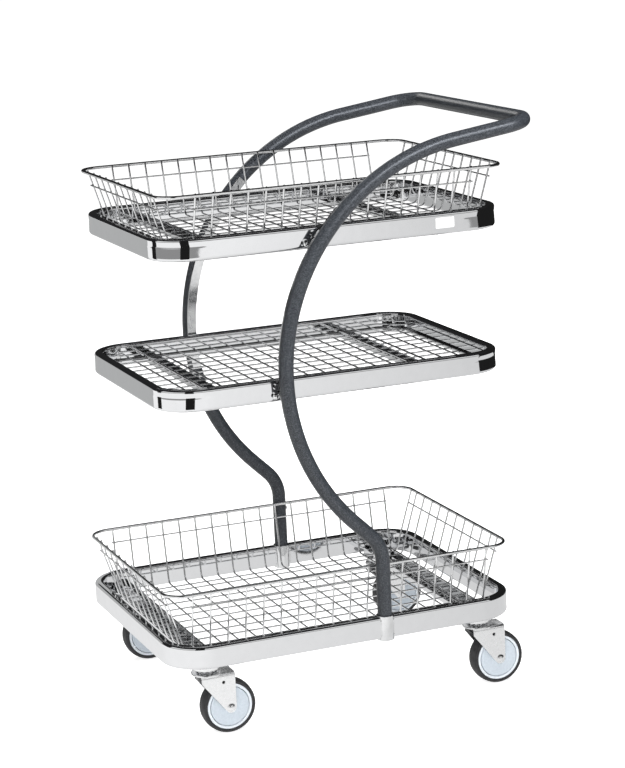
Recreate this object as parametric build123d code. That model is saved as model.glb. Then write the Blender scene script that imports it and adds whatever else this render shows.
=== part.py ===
from build123d import *
import os
from math import cos, radians, sin, sqrt, tan

os.makedirs("parts", exist_ok=True)

# Three-tier wire shelf cart, in millimetres. +Z is up, the floor is z = 0, and +X points
# towards the push handle, so the cart is pushed towards -X. The origin is on the floor,
# under the middle of the cart's overall box.

# ---- Driving dimensions ----------------------------------------------------------------
# Shelf frames: closed rings of rounded rectangular tube.
SHELF_LENGTH = 660.0
SHELF_WIDTH = 470.0
BASE_LENGTH = 674.0
BASE_WIDTH = 534.0
RAIL_THICKNESS = 18.0
SHELF_RAIL_HEIGHT = 40.0
BASE_RAIL_HEIGHT = 42.0
SHELF_CORNER = 72.0
BASE_CORNER = 76.0
RAIL_EDGE = 6.0
RAIL_WALL = 1.5
DRAIN_RADIUS = 2.5

TOP_X = -14.75
MIDDLE_X = -20.75
BASE_X = -33.75
TOP_Z = 852.0
MIDDLE_Z = 589.0
BASE_Z = 134.0

# Welded wire deck of the middle shelf. The top shelf and the base have cross bars alone,
# and a basket stands on those.
DECK_WIRE = 3.5
EDGE_WIRE = 5.0
CROSS_PITCH = 33.3
CROSS_WIRES = 18
LONG_PITCH = 35.8
LONG_WIRES = 11
EDGE_CLEARANCE = 0.3
WIRE_END_GAP = 0.1
STACK_GAP = 0.05
CROSSING_GAP = 0.02
BAR_WIDTH = 30.0
BAR_HEIGHT = 8.0
BASKET_BAR_HEIGHT = 9.0
BAR_WALL = 2.0
BAR_OFFSET = 200.0
BASE_BAR_WIDTH = 46.0
DECK_BOLT_INSET = 8.0
DECK_BOLT_RADIUS = 7.0
DECK_BOLT_HEIGHT = 4.0

# One bent tube makes both legs and the push handle.
LEG_RADIUS = 13.0
LEG_WALL = 1.5
LEG_Y = 256.5
LEG_FOOT_X = 34.75
FOOT_Z = 137.0
LOWER_BEND_Z = 277.0
LOWER_BEND_RADIUS = 69.0
LOWER_BEND_ANGLE = 45.5
LOWER_STRAIGHT = 42.0
BOW_RADIUS = 391.0
BOW_END_ANGLE = 8.0
HANDLE_X = 357.75
HANDLE_CORNER = 50.0

# Curved flat straps between the legs and the two upper shelves.
STRAP_WIDTH = 17.0
STRAP_THICKNESS = 4.0
STRAP_BOTTOM_Z = 562.0
STRAP_TOP_Z = 916.0
LUG_LOWER_RADIUS = 7.0
LUG_UPPER_RADIUS = 6.0
LUG_LOWER_REACH = 15.0
LUG_UPPER_REACH = 11.0
LUG_LOWER_HEIGHT = 11.0
LUG_UPPER_HEIGHT = 27.0
RIVET_MARGIN = 1.5
RIVET_HEIGHT = 3.0

# Sockets that hold the feet of the tube in the base frame.
SOCKET_RADIUS = 16.0
SOCKET_BOTTOM = 131.0
SOCKET_TOP = 177.0

# Screws in the outer sides of the legs.
LEG_SCREW_Z = 251.0
LEG_SCREW_RADIUS = 4.5
LEG_SCREW_HEIGHT = 3.3
LEG_SCREW_SEAT = 0.3

# Lift-out baskets.
BASKET_WIRE = 3.0
RIM_WIRE = 6.0
RIM_WIDTH = 485.0
RIM_CORNER = 42.0
TOP_RIM_LENGTH = 656.0
LOWER_RIM_LENGTH = 672.0
TOP_RIM_Z = 965.6
LOWER_RIM_Z = 265.0
BASKET_LONG_PITCH = 37.2
TOP_CROSS_PITCH = 32.4
TOP_CROSS_WIRES = 17
TOP_LONG_WIRES = 11
LOWER_CROSS_PITCH = 33.6
LOWER_CROSS_WIRES = 18
LOWER_LONG_WIRES = 10
LOWER_OUTER_WIRE_Y = 193.5
BASKET_BEND = 10.0
BAND_DROP = 25.0
WIRE_ABOVE_RIM = 1.5
RIM_LEAN = 0.6
BAND_CLEARANCE = 0.3
BASKET_SEAT_GAP = 0.4
TOP_FLOOR_HALF_X = 289.0
TOP_FLOOR_HALF_Y = 205.0
LOWER_FLOOR_HALF_X = 291.0
LOWER_FLOOR_HALF_Y = 212.0

# Swivel casters.
CASTER_OFFSET_X = 266.0
CASTER_Y = 226.0
TRAIL = 36.0
WHEEL_RADIUS = 50.0
TYRE_INNER = 42.0
RING_INNER = 37.0
TYRE_WIDTH = 30.0
AXLE_RADIUS = 4.0
RUNNING_GAP = 0.05
KING_RADIUS = 5.0

HALF = 0.5


def save(shape, node):
    """Write one node; a list of solids becomes one compound."""
    if isinstance(shape, (list, tuple)):
        shape = Compound(children=list(shape))
    export_step(shape, f"parts/{node}.step")


# ---- Frames ----------------------------------------------------------------------------
def rounded_ring(length, width, corner, height, thickness, edge):
    """A rounded-rectangle ring standing on z = 0, with all four long edges rounded."""
    outline = RectangleRounded(length, width, corner)
    hole = RectangleRounded(length - 2 * thickness, width - 2 * thickness, corner - thickness)
    ring = extrude(outline - hole, height)
    ends = ring.faces().sort_by(Axis.Z)
    return fillet(ends[0].edges() + ends[-1].edges(), edge)


def tube_frame(length, width, corner, height):
    """The ring as a hollow tube, drained through small holes in its underside."""
    shell = rounded_ring(length, width, corner, height, RAIL_THICKNESS, RAIL_EDGE)
    core = rounded_ring(length - 2 * RAIL_WALL, width - 2 * RAIL_WALL, corner - RAIL_WALL,
                        height - 2 * RAIL_WALL, RAIL_THICKNESS - 2 * RAIL_WALL,
                        RAIL_EDGE - RAIL_WALL)
    frame = shell - Pos(0, 0, RAIL_WALL) * core
    drain_y = (width - RAIL_THICKNESS) * HALF
    for x in (-length / 4, length / 4):
        for y in (-drain_y, drain_y):
            frame -= Pos(x, y, RAIL_WALL * HALF) * Cylinder(DRAIN_RADIUS, 2 * RAIL_WALL)
    return frame


# ---- Decks -----------------------------------------------------------------------------
def wire_along_x(length, radius, x, y, z):
    return Pos(x, y, z) * Rot(0, 90, 0) * Cylinder(radius, length)


def wire_along_y(length, radius, x, y, z):
    return Pos(x, y, z) * Rot(90, 0, 0) * Cylinder(radius, length)


def reach(offset, half_along, half_across, corner):
    """Half the free span inside a rounded rectangle, on a line parallel to one side."""
    past = abs(offset) - (half_across - corner)
    if past <= 0:
        return half_along
    return half_along - corner + sqrt(corner ** 2 - past ** 2)


def spaced(count, pitch):
    """Places of evenly spaced things, centred on zero."""
    return [(i - (count - 1) * HALF) * pitch for i in range(count)]


def deck(length, width, corner, x0, z0):
    """Edge wire, long wires and cross wires of the welded deck."""
    inner_length = length - 2 * RAIL_THICKNESS
    inner_width = width - 2 * RAIL_THICKNESS
    edge_radius = EDGE_WIRE * HALF
    wire_radius = DECK_WIRE * HALF
    inset = edge_radius + EDGE_CLEARANCE
    edge_z = z0 + BAR_HEIGHT + edge_radius + STACK_GAP
    path = Pos(x0, 0, edge_z) * RectangleRounded(
        inner_length - 2 * inset, inner_width - 2 * inset,
        corner - RAIL_THICKNESS - inset).wire()
    section = Plane(origin=path @ 0, z_dir=path % 0) * Circle(edge_radius)
    edge = sweep(section, path=path)
    free_x = inner_length * HALF - inset - edge_radius
    free_y = inner_width * HALF - inset - edge_radius
    free_corner = corner - RAIL_THICKNESS - inset - edge_radius
    long_z = z0 + BAR_HEIGHT + wire_radius + STACK_GAP
    cross_z = long_z + DECK_WIRE + CROSSING_GAP
    longs = []
    for y in spaced(LONG_WIRES, LONG_PITCH):
        half_span = reach(abs(y) + wire_radius, free_x, free_y, free_corner)
        half_span -= WIRE_END_GAP
        longs.append(wire_along_x(2 * half_span, wire_radius, x0, y, long_z))
    crosses = []
    for x in spaced(CROSS_WIRES, CROSS_PITCH):
        half_span = reach(abs(x) + wire_radius, free_y, free_x, free_corner)
        half_span -= WIRE_END_GAP
        crosses.append(wire_along_y(2 * half_span, wire_radius, x0 + x, 0, cross_z))
    return edge, longs, crosses


def channel_bar(width, length, height):
    """A shallow channel, open upwards, that crosses the frame along Y."""
    on_floor = (Align.CENTER, Align.CENTER, Align.MIN)
    outer = Box(width, length, height, align=on_floor)
    inner = Box(width - 2 * BAR_WALL, length + 1, height, align=on_floor)
    return outer - Pos(0, 0, BAR_WALL) * inner


# ---- Legs and handle -------------------------------------------------------------------
BOW_START_ANGLE = 90 + LOWER_BEND_ANGLE


def leg_line():
    """The near leg's centre line in the XZ plane, from its foot up to the handle corner."""
    with BuildLine(Plane.XZ.offset(LEG_Y)) as line:
        Line((LEG_FOOT_X, FOOT_Z), (LEG_FOOT_X, LOWER_BEND_Z))
        bend = JernArc((LEG_FOOT_X, LOWER_BEND_Z), (0, 1), LOWER_BEND_RADIUS,
                       LOWER_BEND_ANGLE)
        start = Plane.XZ.offset(LEG_Y).to_local_coords(bend @ 1)
        lean = radians(BOW_START_ANGLE)
        bow_x = start.X + LOWER_STRAIGHT * cos(lean)
        bow_z = start.Y + LOWER_STRAIGHT * sin(lean)
        Line((start.X, start.Y), (bow_x, bow_z))
        bow = JernArc((bow_x, bow_z), (cos(lean), sin(lean)), BOW_RADIUS,
                      BOW_END_ANGLE - BOW_START_ANGLE)
        end = Plane.XZ.offset(LEG_Y).to_local_coords(bow @ 1)
        corner_x = HANDLE_X - HANDLE_CORNER * cos(radians(BOW_END_ANGLE))
        corner_z = end.Y + (corner_x - end.X) * tan(radians(BOW_END_ANGLE))
        Line((end.X, end.Y), (corner_x, corner_z))
    return line.line, Vector(bow_x, 0, bow_z), Vector(corner_x, -LEG_Y, corner_z)


def bow_centre(bow_start):
    """Centre of the big bow, seen along Y."""
    lean = radians(BOW_START_ANGLE)
    return bow_start.X + BOW_RADIUS * sin(lean), bow_start.Z - BOW_RADIUS * cos(lean)


def handle_path(near_leg, corner):
    """Near leg, corner, cross bar, corner and far leg as one wire."""
    rise = radians(BOW_END_ANGLE)
    along = Vector(cos(rise), 0, sin(rise))
    up = Vector(-sin(rise), 0, cos(rise))
    tilted = Plane(origin=corner, x_dir=along, z_dir=up)
    bar_half = LEG_Y - HANDLE_CORNER
    with BuildLine(tilted) as turn:
        JernArc((0, 0), (1, 0), HANDLE_CORNER, 90)
    bar_start = turn.line @ 1
    half_bar = Line(bar_start, bar_start + Vector(0, bar_half, 0))
    half = near_leg.edges() + turn.line.edges() + half_bar.edges()
    mirrored = [edge.mirror(Plane.XZ) for edge in half]
    return Wire(list(half) + mirrored), bar_start


def round_tube(path, radius, wall):
    section = Plane(origin=path @ 0, z_dir=path % 0) * (Circle(radius) - Circle(radius - wall))
    return sweep(section, path=path)


def strap(centre_x, centre_z, side):
    """A flat strap along the bow, on the shelf side of one leg."""
    inner = BOW_RADIUS - STRAP_WIDTH * HALF
    outer = BOW_RADIUS + STRAP_WIDTH * HALF
    face_y = side * (LEG_Y - LEG_RADIUS)
    low = STRAP_BOTTOM_Z - centre_z
    high = STRAP_TOP_Z - centre_z
    start = Vector(-sqrt(BOW_RADIUS ** 2 - low ** 2), low)
    middle = Vector(-BOW_RADIUS, 0)
    finish = Vector(-sqrt(BOW_RADIUS ** 2 - high ** 2), high)
    grow = outer / BOW_RADIUS
    shrink = inner / BOW_RADIUS
    with BuildSketch(Plane.XZ) as shape:
        with BuildLine():
            ThreePointArc(start * grow, middle * grow, finish * grow)
            Line(finish * grow, finish * shrink)
            ThreePointArc(finish * shrink, middle * shrink, start * shrink)
            Line(start * shrink, start * grow)
        make_face()
    plate = extrude(shape.sketch, STRAP_THICKNESS * HALF, both=True)
    return Pos(centre_x, face_y - side * STRAP_THICKNESS * HALF, centre_z) * plate


def beside_bow(centre_x, centre_z, reach_out, z):
    """A point at height z that lies reach_out outside the bow's centre line."""
    radius = BOW_RADIUS + reach_out
    return centre_x - sqrt(radius ** 2 - (z - centre_z) ** 2), z


def strap_lug(centre_x, centre_z, z0, side):
    """Plate between a shelf rail and its strap, with two lobes that stick out past the leg."""
    lower = beside_bow(centre_x, centre_z, LUG_LOWER_REACH, z0 + LUG_LOWER_HEIGHT)
    upper = beside_bow(centre_x, centre_z, LUG_UPPER_REACH, z0 + LUG_UPPER_HEIGHT)
    lower_root = beside_bow(centre_x, centre_z, 0, z0 + LUG_LOWER_HEIGHT)
    upper_root = beside_bow(centre_x, centre_z, 0, z0 + LUG_UPPER_HEIGHT)
    thickness = LEG_Y - LEG_RADIUS - STRAP_THICKNESS - SHELF_WIDTH * HALF
    lobes = ((lower, lower_root, LUG_LOWER_RADIUS), (upper, upper_root, LUG_UPPER_RADIUS))
    with BuildSketch(Plane.XZ) as shape:
        for tip, root, radius in lobes:
            with Locations(tip, root):
                Circle(radius)
            with Locations(((tip[0] + root[0]) * HALF, tip[1])):
                Rectangle(root[0] - tip[0], 2 * radius)
        with Locations(((lower_root[0] + upper_root[0]) * HALF,
                        (lower_root[1] + upper_root[1]) * HALF)):
            Rectangle(2 * LUG_UPPER_RADIUS, upper_root[1] - lower_root[1])
    plate = extrude(shape.sketch, thickness * HALF, both=True)
    plate = Pos(0, side * (SHELF_WIDTH * HALF + thickness * HALF), 0) * plate
    turn = 90 if side < 0 else -90
    face_y = side * (SHELF_WIDTH * HALF + thickness)
    rivet = Rot(turn, 0, 0) * domed_head(LUG_LOWER_RADIUS - RIVET_MARGIN, RIVET_HEIGHT)
    return plate, Pos(lower[0], face_y, lower[1]) * rivet


# ---- Fasteners -------------------------------------------------------------------------
def domed_head(radius, height):
    """A low dome standing on z = 0."""
    ball = (radius ** 2 + height ** 2) / (2 * height)
    cap = Pos(0, 0, height - ball) * Sphere(ball)
    return cap & Cylinder(radius, height, align=(Align.CENTER, Align.CENTER, Align.MIN))


def domed_bolt(radius, length, head_radius, head_height):
    """A bolt whose shank runs down from z = 0 and whose dome stands above it."""
    shank = Cylinder(radius, length, align=(Align.CENTER, Align.CENTER, Align.MAX))
    return domed_head(head_radius, head_height) + shank


def hex_nut(across_flats, height, bore):
    nut = extrude(RegularPolygon(across_flats * HALF, 6, major_radius=False), height)
    return nut - Cylinder(bore, 2 * height)


# ---- Baskets ---------------------------------------------------------------------------
def bent_wire(half_floor, floor_z, half_top, top_z):
    """One U-shaped wire in the XZ plane: up one wall, across the floor, up the other."""
    line = FilletPolyline((-half_top, 0, top_z), (-half_floor, 0, floor_z),
                          (half_floor, 0, floor_z), (half_top, 0, top_z), radius=BASKET_BEND)
    section = Plane(origin=line @ 0, z_dir=line % 0) * Circle(BASKET_WIRE * HALF)
    return sweep(section, path=line)


def basket(rim_length, rim_z, floor_x, floor_y, floor_z, x0, long_places, cross_places):
    """Rim, U-shaped wires both ways and the wires that band the walls."""
    wire = BASKET_WIRE * HALF
    rim_radius = RIM_WIRE * HALF
    path = Pos(x0, 0, rim_z) * RectangleRounded(
        rim_length - RIM_WIRE, RIM_WIDTH - RIM_WIRE, RIM_CORNER - rim_radius).wire()
    rim = sweep(Plane(origin=path @ 0, z_dir=path % 0) * Circle(rim_radius), path=path)

    top_z = rim_z + rim_radius + WIRE_ABOVE_RIM
    inside = 2 * rim_radius + wire + RIM_LEAN
    half_x = rim_length * HALF - inside
    half_y = RIM_WIDTH * HALF - inside
    long_z = floor_z + wire
    cross_z = long_z + BASKET_WIRE + CROSSING_GAP
    slope_x = (half_x - floor_x) / (rim_z - long_z)
    slope_y = (half_y - floor_y) / (rim_z - cross_z)
    long_wire = bent_wire(floor_x, long_z, half_x + slope_x * (top_z - rim_z), top_z)
    cross_wire = Rot(0, 0, 90) * bent_wire(floor_y, cross_z,
                                           half_y + slope_y * (top_z - rim_z), top_z)
    longs = [Pos(x0, y, 0) * long_wire for y in long_places]
    crosses = [Pos(x0 + x, 0, 0) * cross_wire for x in cross_places]

    band_z = rim_z - BAND_DROP
    clear = BASKET_WIRE + BAND_CLEARANCE
    band_x = half_x - slope_x * BAND_DROP + clear * sqrt(1 + slope_x ** 2)
    band_y = half_y - slope_y * BAND_DROP + clear * sqrt(1 + slope_y ** 2)
    overhang = 2 * BASKET_WIRE
    bands = []
    for side in (-1, 1):
        bands.append(wire_along_x(2 * max(cross_places) + overhang, wire, x0, side * band_y,
                                  band_z))
        bands.append(wire_along_y(2 * max(long_places) + overhang, wire, x0 + side * band_x, 0,
                                  band_z))
    return rim, longs, crosses, bands


# ---- Casters ---------------------------------------------------------------------------
PLATE_RADIUS = 32.0
PLATE_THICKNESS = 3.0
RACE_RADIUS = 24.0
RACE_BOTTOM = 124.5
BALL_RADIUS = 3.0
BALL_CIRCLE = 17.0
BALL_COUNT = 12
CROWN_TOP = 118.2
CROWN_BOTTOM = 113.0
CROWN_RADIUS = 28.0
GROOVE_RADIUS = 3.3
FORK_INNER = 18.5
FORK_SHEET = 2.5
FORK_BACK = 16.0
FORK_SHOULDER_Z = 97.0
FORK_SHOULDER_X = 13.0
FORK_EYE = 10.0
BRAKE_HOLE_RADIUS = 3.0
BRAKE_HOLE_INSET = 12.0
BRAKE_HOLE_Z = 99.0
HUB_RADIUS = 9.0
BUSH_WALL = 3.0
WEB_HALF = 4.0
CORE_RIM_INNER = 33.0
DISC_THICKNESS = 1.5
DISC_GAP = 0.2
BUSH_END_GAP = 0.3
KING_HEX = 8.5
KING_HEAD_HEIGHT = 5.0
KING_NUT_HEIGHT = 6.5
KING_STICKOUT = 8.0
KING_HEAD_GAP = 0.3
AXLE_HEAD_RADIUS = 7.5
AXLE_HEAD_HEIGHT = 4.0
AXLE_STICKOUT = 8.0
AXLE_NUT_FLATS = 13.0
AXLE_NUT_HEIGHT = 6.5


def caster_plate():
    """Fixed top plate with the upper ball race."""
    ball_z = (RACE_BOTTOM + CROWN_TOP) * HALF
    plate = Pos(0, 0, BASE_Z - PLATE_THICKNESS * HALF) * Cylinder(PLATE_RADIUS, PLATE_THICKNESS)
    race_height = BASE_Z - PLATE_THICKNESS - RACE_BOTTOM
    race = Pos(0, 0, RACE_BOTTOM + race_height * HALF) * Cylinder(RACE_RADIUS, race_height)
    body = plate + race
    body -= Pos(0, 0, ball_z) * Torus(BALL_CIRCLE, GROOVE_RADIUS)
    return body - Pos(0, 0, BASE_Z) * Cylinder(KING_RADIUS + RUNNING_GAP, 40)


def ball_ring():
    ball_z = (RACE_BOTTOM + CROWN_TOP) * HALF
    ball = Pos(BALL_CIRCLE, 0, ball_z) * Sphere(BALL_RADIUS)
    return [Rot(0, 0, i * 360 / BALL_COUNT) * ball for i in range(BALL_COUNT)]


def hexagon(apothem, height):
    return extrude(RegularPolygon(apothem, 6, major_radius=False), height)


def king_bolt():
    """Bolt that carries the fork, with its nut inside the base's channel bar."""
    top = BASE_Z + BAR_WALL
    head_top = CROWN_BOTTOM - KING_HEAD_GAP
    head = Pos(0, 0, head_top - KING_HEAD_HEIGHT) * hexagon(KING_HEX, KING_HEAD_HEIGHT)
    shank_length = top + KING_STICKOUT - head_top
    shank = Pos(0, 0, head_top + shank_length * HALF) * Cylinder(KING_RADIUS, shank_length)
    nut = Pos(0, 0, top) * hexagon(KING_HEX, KING_NUT_HEIGHT)
    return head + shank + nut


def fork_cheek():
    """Outline of one cheek: straight front edge, round eye, diagonal back edge."""
    top = CROWN_BOTTOM + FORK_SHEET
    front = TRAIL + FORK_EYE
    tangent = (TRAIL - FORK_EYE * 0.83, WHEEL_RADIUS - FORK_EYE * 0.558)
    with BuildSketch(Plane.XZ) as cheek:
        with BuildLine():
            Polyline((-FORK_BACK, top), (front, top), (front, WHEEL_RADIUS))
            RadiusArc((front, WHEEL_RADIUS), tangent, FORK_EYE)
            Polyline(tangent, (-FORK_SHOULDER_X, FORK_SHOULDER_Z), (-FORK_BACK, top))
        make_face()
        with Locations((TRAIL - BRAKE_HOLE_INSET, BRAKE_HOLE_Z)):
            Circle(BRAKE_HOLE_RADIUS, mode=Mode.SUBTRACT)
        with Locations((TRAIL, WHEEL_RADIUS)):
            Circle(AXLE_RADIUS + RUNNING_GAP, mode=Mode.SUBTRACT)
    return extrude(cheek.sketch, FORK_SHEET * HALF, both=True)


def fork():
    """Pressed fork: round crown, flat bridge and two tapering cheeks."""
    ball_z = (RACE_BOTTOM + CROWN_TOP) * HALF
    crown = Pos(0, 0, (CROWN_TOP + CROWN_BOTTOM) * HALF) * Cylinder(
        CROWN_RADIUS, CROWN_TOP - CROWN_BOTTOM)
    front = TRAIL + FORK_EYE
    bridge = Pos((front - FORK_BACK) * HALF, 0, CROWN_BOTTOM + FORK_SHEET * HALF) * Box(
        front + FORK_BACK, 2 * (FORK_INNER + FORK_SHEET), FORK_SHEET)
    body = crown + bridge
    plate = fork_cheek()
    for side in (-1, 1):
        body += Pos(0, side * (FORK_INNER + FORK_SHEET * HALF), 0) * plate
    body -= Pos(0, 0, ball_z) * Torus(BALL_CIRCLE, GROOVE_RADIUS)
    return body - Pos(0, 0, CROWN_BOTTOM) * Cylinder(KING_RADIUS + KING_HEAD_GAP, 30)


def turned(profile):
    """Revolve a profile of (radius, y) points about the wheel's axle."""
    with BuildSketch(Plane.XY) as shape:
        with BuildLine():
            Polyline(*profile, close=True)
        make_face()
    solid = revolve(shape.sketch, Axis.Y)
    return Pos(TRAIL, 0, WHEEL_RADIUS) * solid


def mirrored_profile(right):
    """A closed profile from its +Y half, given from the bore outwards."""
    return [(r, -y) for r, y in right] + [(r, y) for r, y in reversed(right)]


def tyre():
    half = TYRE_WIDTH * HALF
    shoulder = 3.0
    return turned(mirrored_profile([
        (TYRE_INNER, half - 1), (WHEEL_RADIUS - shoulder, half),
        (WHEEL_RADIUS - 1, half - shoulder), (WHEEL_RADIUS, half - 3 * shoulder)]))


def wheel_core():
    """Moulded centre with a rim, a web and a hub."""
    half = TYRE_WIDTH * HALF - 1
    bore = AXLE_RADIUS + BUSH_WALL
    hub = HUB_RADIUS + BUSH_WALL
    return turned(mirrored_profile([
        (bore, half - 1), (hub, half - 1), (hub, WEB_HALF), (CORE_RIM_INNER, WEB_HALF),
        (CORE_RIM_INNER, half - 1 - DISC_THICKNESS), (RING_INNER, half - 1 - DISC_THICKNESS),
        (RING_INNER, half), (TYRE_INNER, half)]))


def cover_discs():
    """Flat thread guards that close both faces of the wheel."""
    half = TYRE_WIDTH * HALF - 2
    inner = HUB_RADIUS + BUSH_WALL + DISC_GAP
    outer = RING_INNER - 3 * DISC_GAP
    disc = [(inner, half - DISC_THICKNESS), (outer, half - DISC_THICKNESS), (outer, half),
            (inner, half)]
    mirrored = [(r, -y) for r, y in disc]
    return [turned(disc), turned(mirrored)]


def axle_bush():
    bore = AXLE_RADIUS + RUNNING_GAP
    flange = FORK_INNER - BUSH_END_GAP
    half = TYRE_WIDTH * HALF - 2
    return turned(mirrored_profile([
        (bore, flange), (HUB_RADIUS, flange), (HUB_RADIUS, half),
        (AXLE_RADIUS + BUSH_WALL, half)]))


def axle_bolt():
    outer = FORK_INNER + FORK_SHEET
    length = 2 * outer + AXLE_STICKOUT
    bolt = domed_bolt(AXLE_RADIUS, length, AXLE_HEAD_RADIUS, AXLE_HEAD_HEIGHT)
    return Pos(TRAIL, -outer, WHEEL_RADIUS) * Rot(90, 0, 0) * bolt


def axle_nut():
    outer = FORK_INNER + FORK_SHEET
    nut = hex_nut(AXLE_NUT_FLATS, AXLE_NUT_HEIGHT, AXLE_RADIUS)
    return Pos(TRAIL, outer, WHEEL_RADIUS) * Rot(-90, 0, 0) * nut


# ---- Build -----------------------------------------------------------------------------
near_leg, bow_start, handle_corner = leg_line()
tube_path, bar_start = handle_path(near_leg, handle_corner)
bow_cx, bow_cz = bow_centre(bow_start)
save(round_tube(tube_path, LEG_RADIUS, LEG_WALL), "leg_and_handle_tube")

shelves = {
    "top_shelf": (SHELF_LENGTH, SHELF_WIDTH, SHELF_CORNER, SHELF_RAIL_HEIGHT, TOP_X, TOP_Z),
    "middle_shelf": (SHELF_LENGTH, SHELF_WIDTH, SHELF_CORNER, SHELF_RAIL_HEIGHT, MIDDLE_X,
                     MIDDLE_Z),
    "base": (BASE_LENGTH, BASE_WIDTH, BASE_CORNER, BASE_RAIL_HEIGHT, BASE_X, BASE_Z),
}
socket_seats = [Pos(LEG_FOOT_X, side * LEG_Y, BASE_Z) * Cylinder(SOCKET_RADIUS, 200)
                for side in (-1, 1)]
for name, (length, width, corner, height, x0, z0) in shelves.items():
    frame = Pos(x0, 0, z0) * tube_frame(length, width, corner, height)
    bar_width = BAR_WIDTH
    bar_x = BAR_OFFSET
    if name == "base":
        frame = frame - socket_seats[0] - socket_seats[1]
        bar_width = BASE_BAR_WIDTH
        bar_x = CASTER_OFFSET_X
    save(frame, f"{name}_frame")
    bar_height = BASKET_BAR_HEIGHT
    if name == "middle_shelf":
        bar_height = BAR_HEIGHT
        edge, longs, crosses = deck(length, width, corner, x0, z0)
        save(edge, "middle_shelf_deck_edge_wire")
        save(longs, "middle_shelf_deck_long_wires")
        save(crosses, "middle_shelf_deck_cross_wires")
    well = Pos(x0, 0, z0) * extrude(RectangleRounded(
        length - 2 * RAIL_THICKNESS, width - 2 * RAIL_THICKNESS, corner - RAIL_THICKNESS),
        height)
    bars = []
    for side in (-1, 1):
        bar = Pos(x0 + side * bar_x, 0, z0) * channel_bar(
            bar_width, width - 2 * RAIL_THICKNESS, bar_height)
        bar = bar & well
        if name == "base":
            for caster_side in (-1, 1):
                bar -= Pos(x0 + side * bar_x, caster_side * CASTER_Y, z0) * Cylinder(
                    KING_RADIUS, 40)
        bars.append(bar)
    save(bars, f"{name}_cross_bars")

save([Pos(LEG_FOOT_X, side * LEG_Y, (SOCKET_BOTTOM + SOCKET_TOP) * HALF)
      * (Cylinder(SOCKET_RADIUS, SOCKET_TOP - SOCKET_BOTTOM)
         - Cylinder(LEG_RADIUS + RUNNING_GAP, 60)) for side in (-1, 1)], "leg_sockets")
save([strap(bow_cx, bow_cz, side) for side in (-1, 1)], "leg_straps")

lugs = []
lug_rivets = []
for z0 in (TOP_Z, MIDDLE_Z):
    for side in (-1, 1):
        lug, rivet = strap_lug(bow_cx, bow_cz, z0, side)
        lugs.append(lug)
        lug_rivets.append(rivet)
save(lugs, "strap_lugs")
save(lug_rivets, "strap_lug_rivets")
screw_seat_x = LEG_FOOT_X + LEG_RADIUS - LEG_SCREW_SEAT
screw_head = Rot(0, 90, 0) * domed_head(LEG_SCREW_RADIUS, LEG_SCREW_HEIGHT)
save([Pos(screw_seat_x, side * LEG_Y, LEG_SCREW_Z) * screw_head
      - Pos(LEG_FOOT_X, side * LEG_Y, LEG_SCREW_Z) * Cylinder(LEG_RADIUS, 30)
      for side in (-1, 1)], "leg_side_screws")

deck_bolts = []
bolt_head = Rot(180, 0, 0) * domed_head(DECK_BOLT_RADIUS, DECK_BOLT_HEIGHT)
for x0, z0 in ((TOP_X, TOP_Z), (MIDDLE_X, MIDDLE_Z)):
    bolt_y = SHELF_WIDTH * HALF - RAIL_THICKNESS - DECK_BOLT_INSET
    for x in (x0 - BAR_OFFSET, x0 + BAR_OFFSET):
        for y in (-bolt_y, bolt_y):
            deck_bolts.append(Pos(x, y, z0) * bolt_head)
save(deck_bolts, "deck_dome_bolts")

seat_height = BASKET_BAR_HEIGHT + BASKET_SEAT_GAP
lower_long_places = spaced(LOWER_LONG_WIRES, BASKET_LONG_PITCH)
lower_long_places += [-LOWER_OUTER_WIRE_Y, LOWER_OUTER_WIRE_Y]
baskets = {
    "top_basket": (TOP_RIM_LENGTH, TOP_RIM_Z, TOP_FLOOR_HALF_X, TOP_FLOOR_HALF_Y,
                   TOP_Z + seat_height, TOP_X, spaced(TOP_LONG_WIRES, BASKET_LONG_PITCH),
                   spaced(TOP_CROSS_WIRES, TOP_CROSS_PITCH)),
    "lower_basket": (LOWER_RIM_LENGTH, LOWER_RIM_Z, LOWER_FLOOR_HALF_X, LOWER_FLOOR_HALF_Y,
                     BASE_Z + seat_height, BASE_X, lower_long_places,
                     spaced(LOWER_CROSS_WIRES, LOWER_CROSS_PITCH)),
}
for name, sizes in baskets.items():
    rim, longs, crosses, bands = basket(*sizes)
    save(rim, f"{name}_rim")
    save(longs, f"{name}_long_wires")
    save(crosses, f"{name}_cross_wires")
    save(bands, f"{name}_band_wires")

casters = {"front_left": (-1, -1), "front_right": (-1, 1),
           "rear_left": (1, -1), "rear_right": (1, 1)}
king_bolts = []
for name, (end, side) in casters.items():
    place = Pos(BASE_X + end * CASTER_OFFSET_X, side * CASTER_Y, 0)
    king_bolts.append(place * king_bolt())
    save(place * caster_plate(), f"{name}_caster_plate")
    save([place * ball for ball in ball_ring()], f"{name}_swivel_balls")
    save(place * fork(), f"{name}_fork")
    save([place * axle_bolt(), place * axle_nut()], f"{name}_axle_bolt_and_nut")
    save(place * tyre(), f"{name}_tyre")
    save([place * solid for solid in [wheel_core()] + cover_discs()], f"{name}_wheel_centre")
    save(place * axle_bush(), f"{name}_axle_bush")
save(king_bolts, "caster_king_bolts")
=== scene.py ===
import math
import random

import bmesh
import bpy
from mathutils import Matrix, Vector


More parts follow.
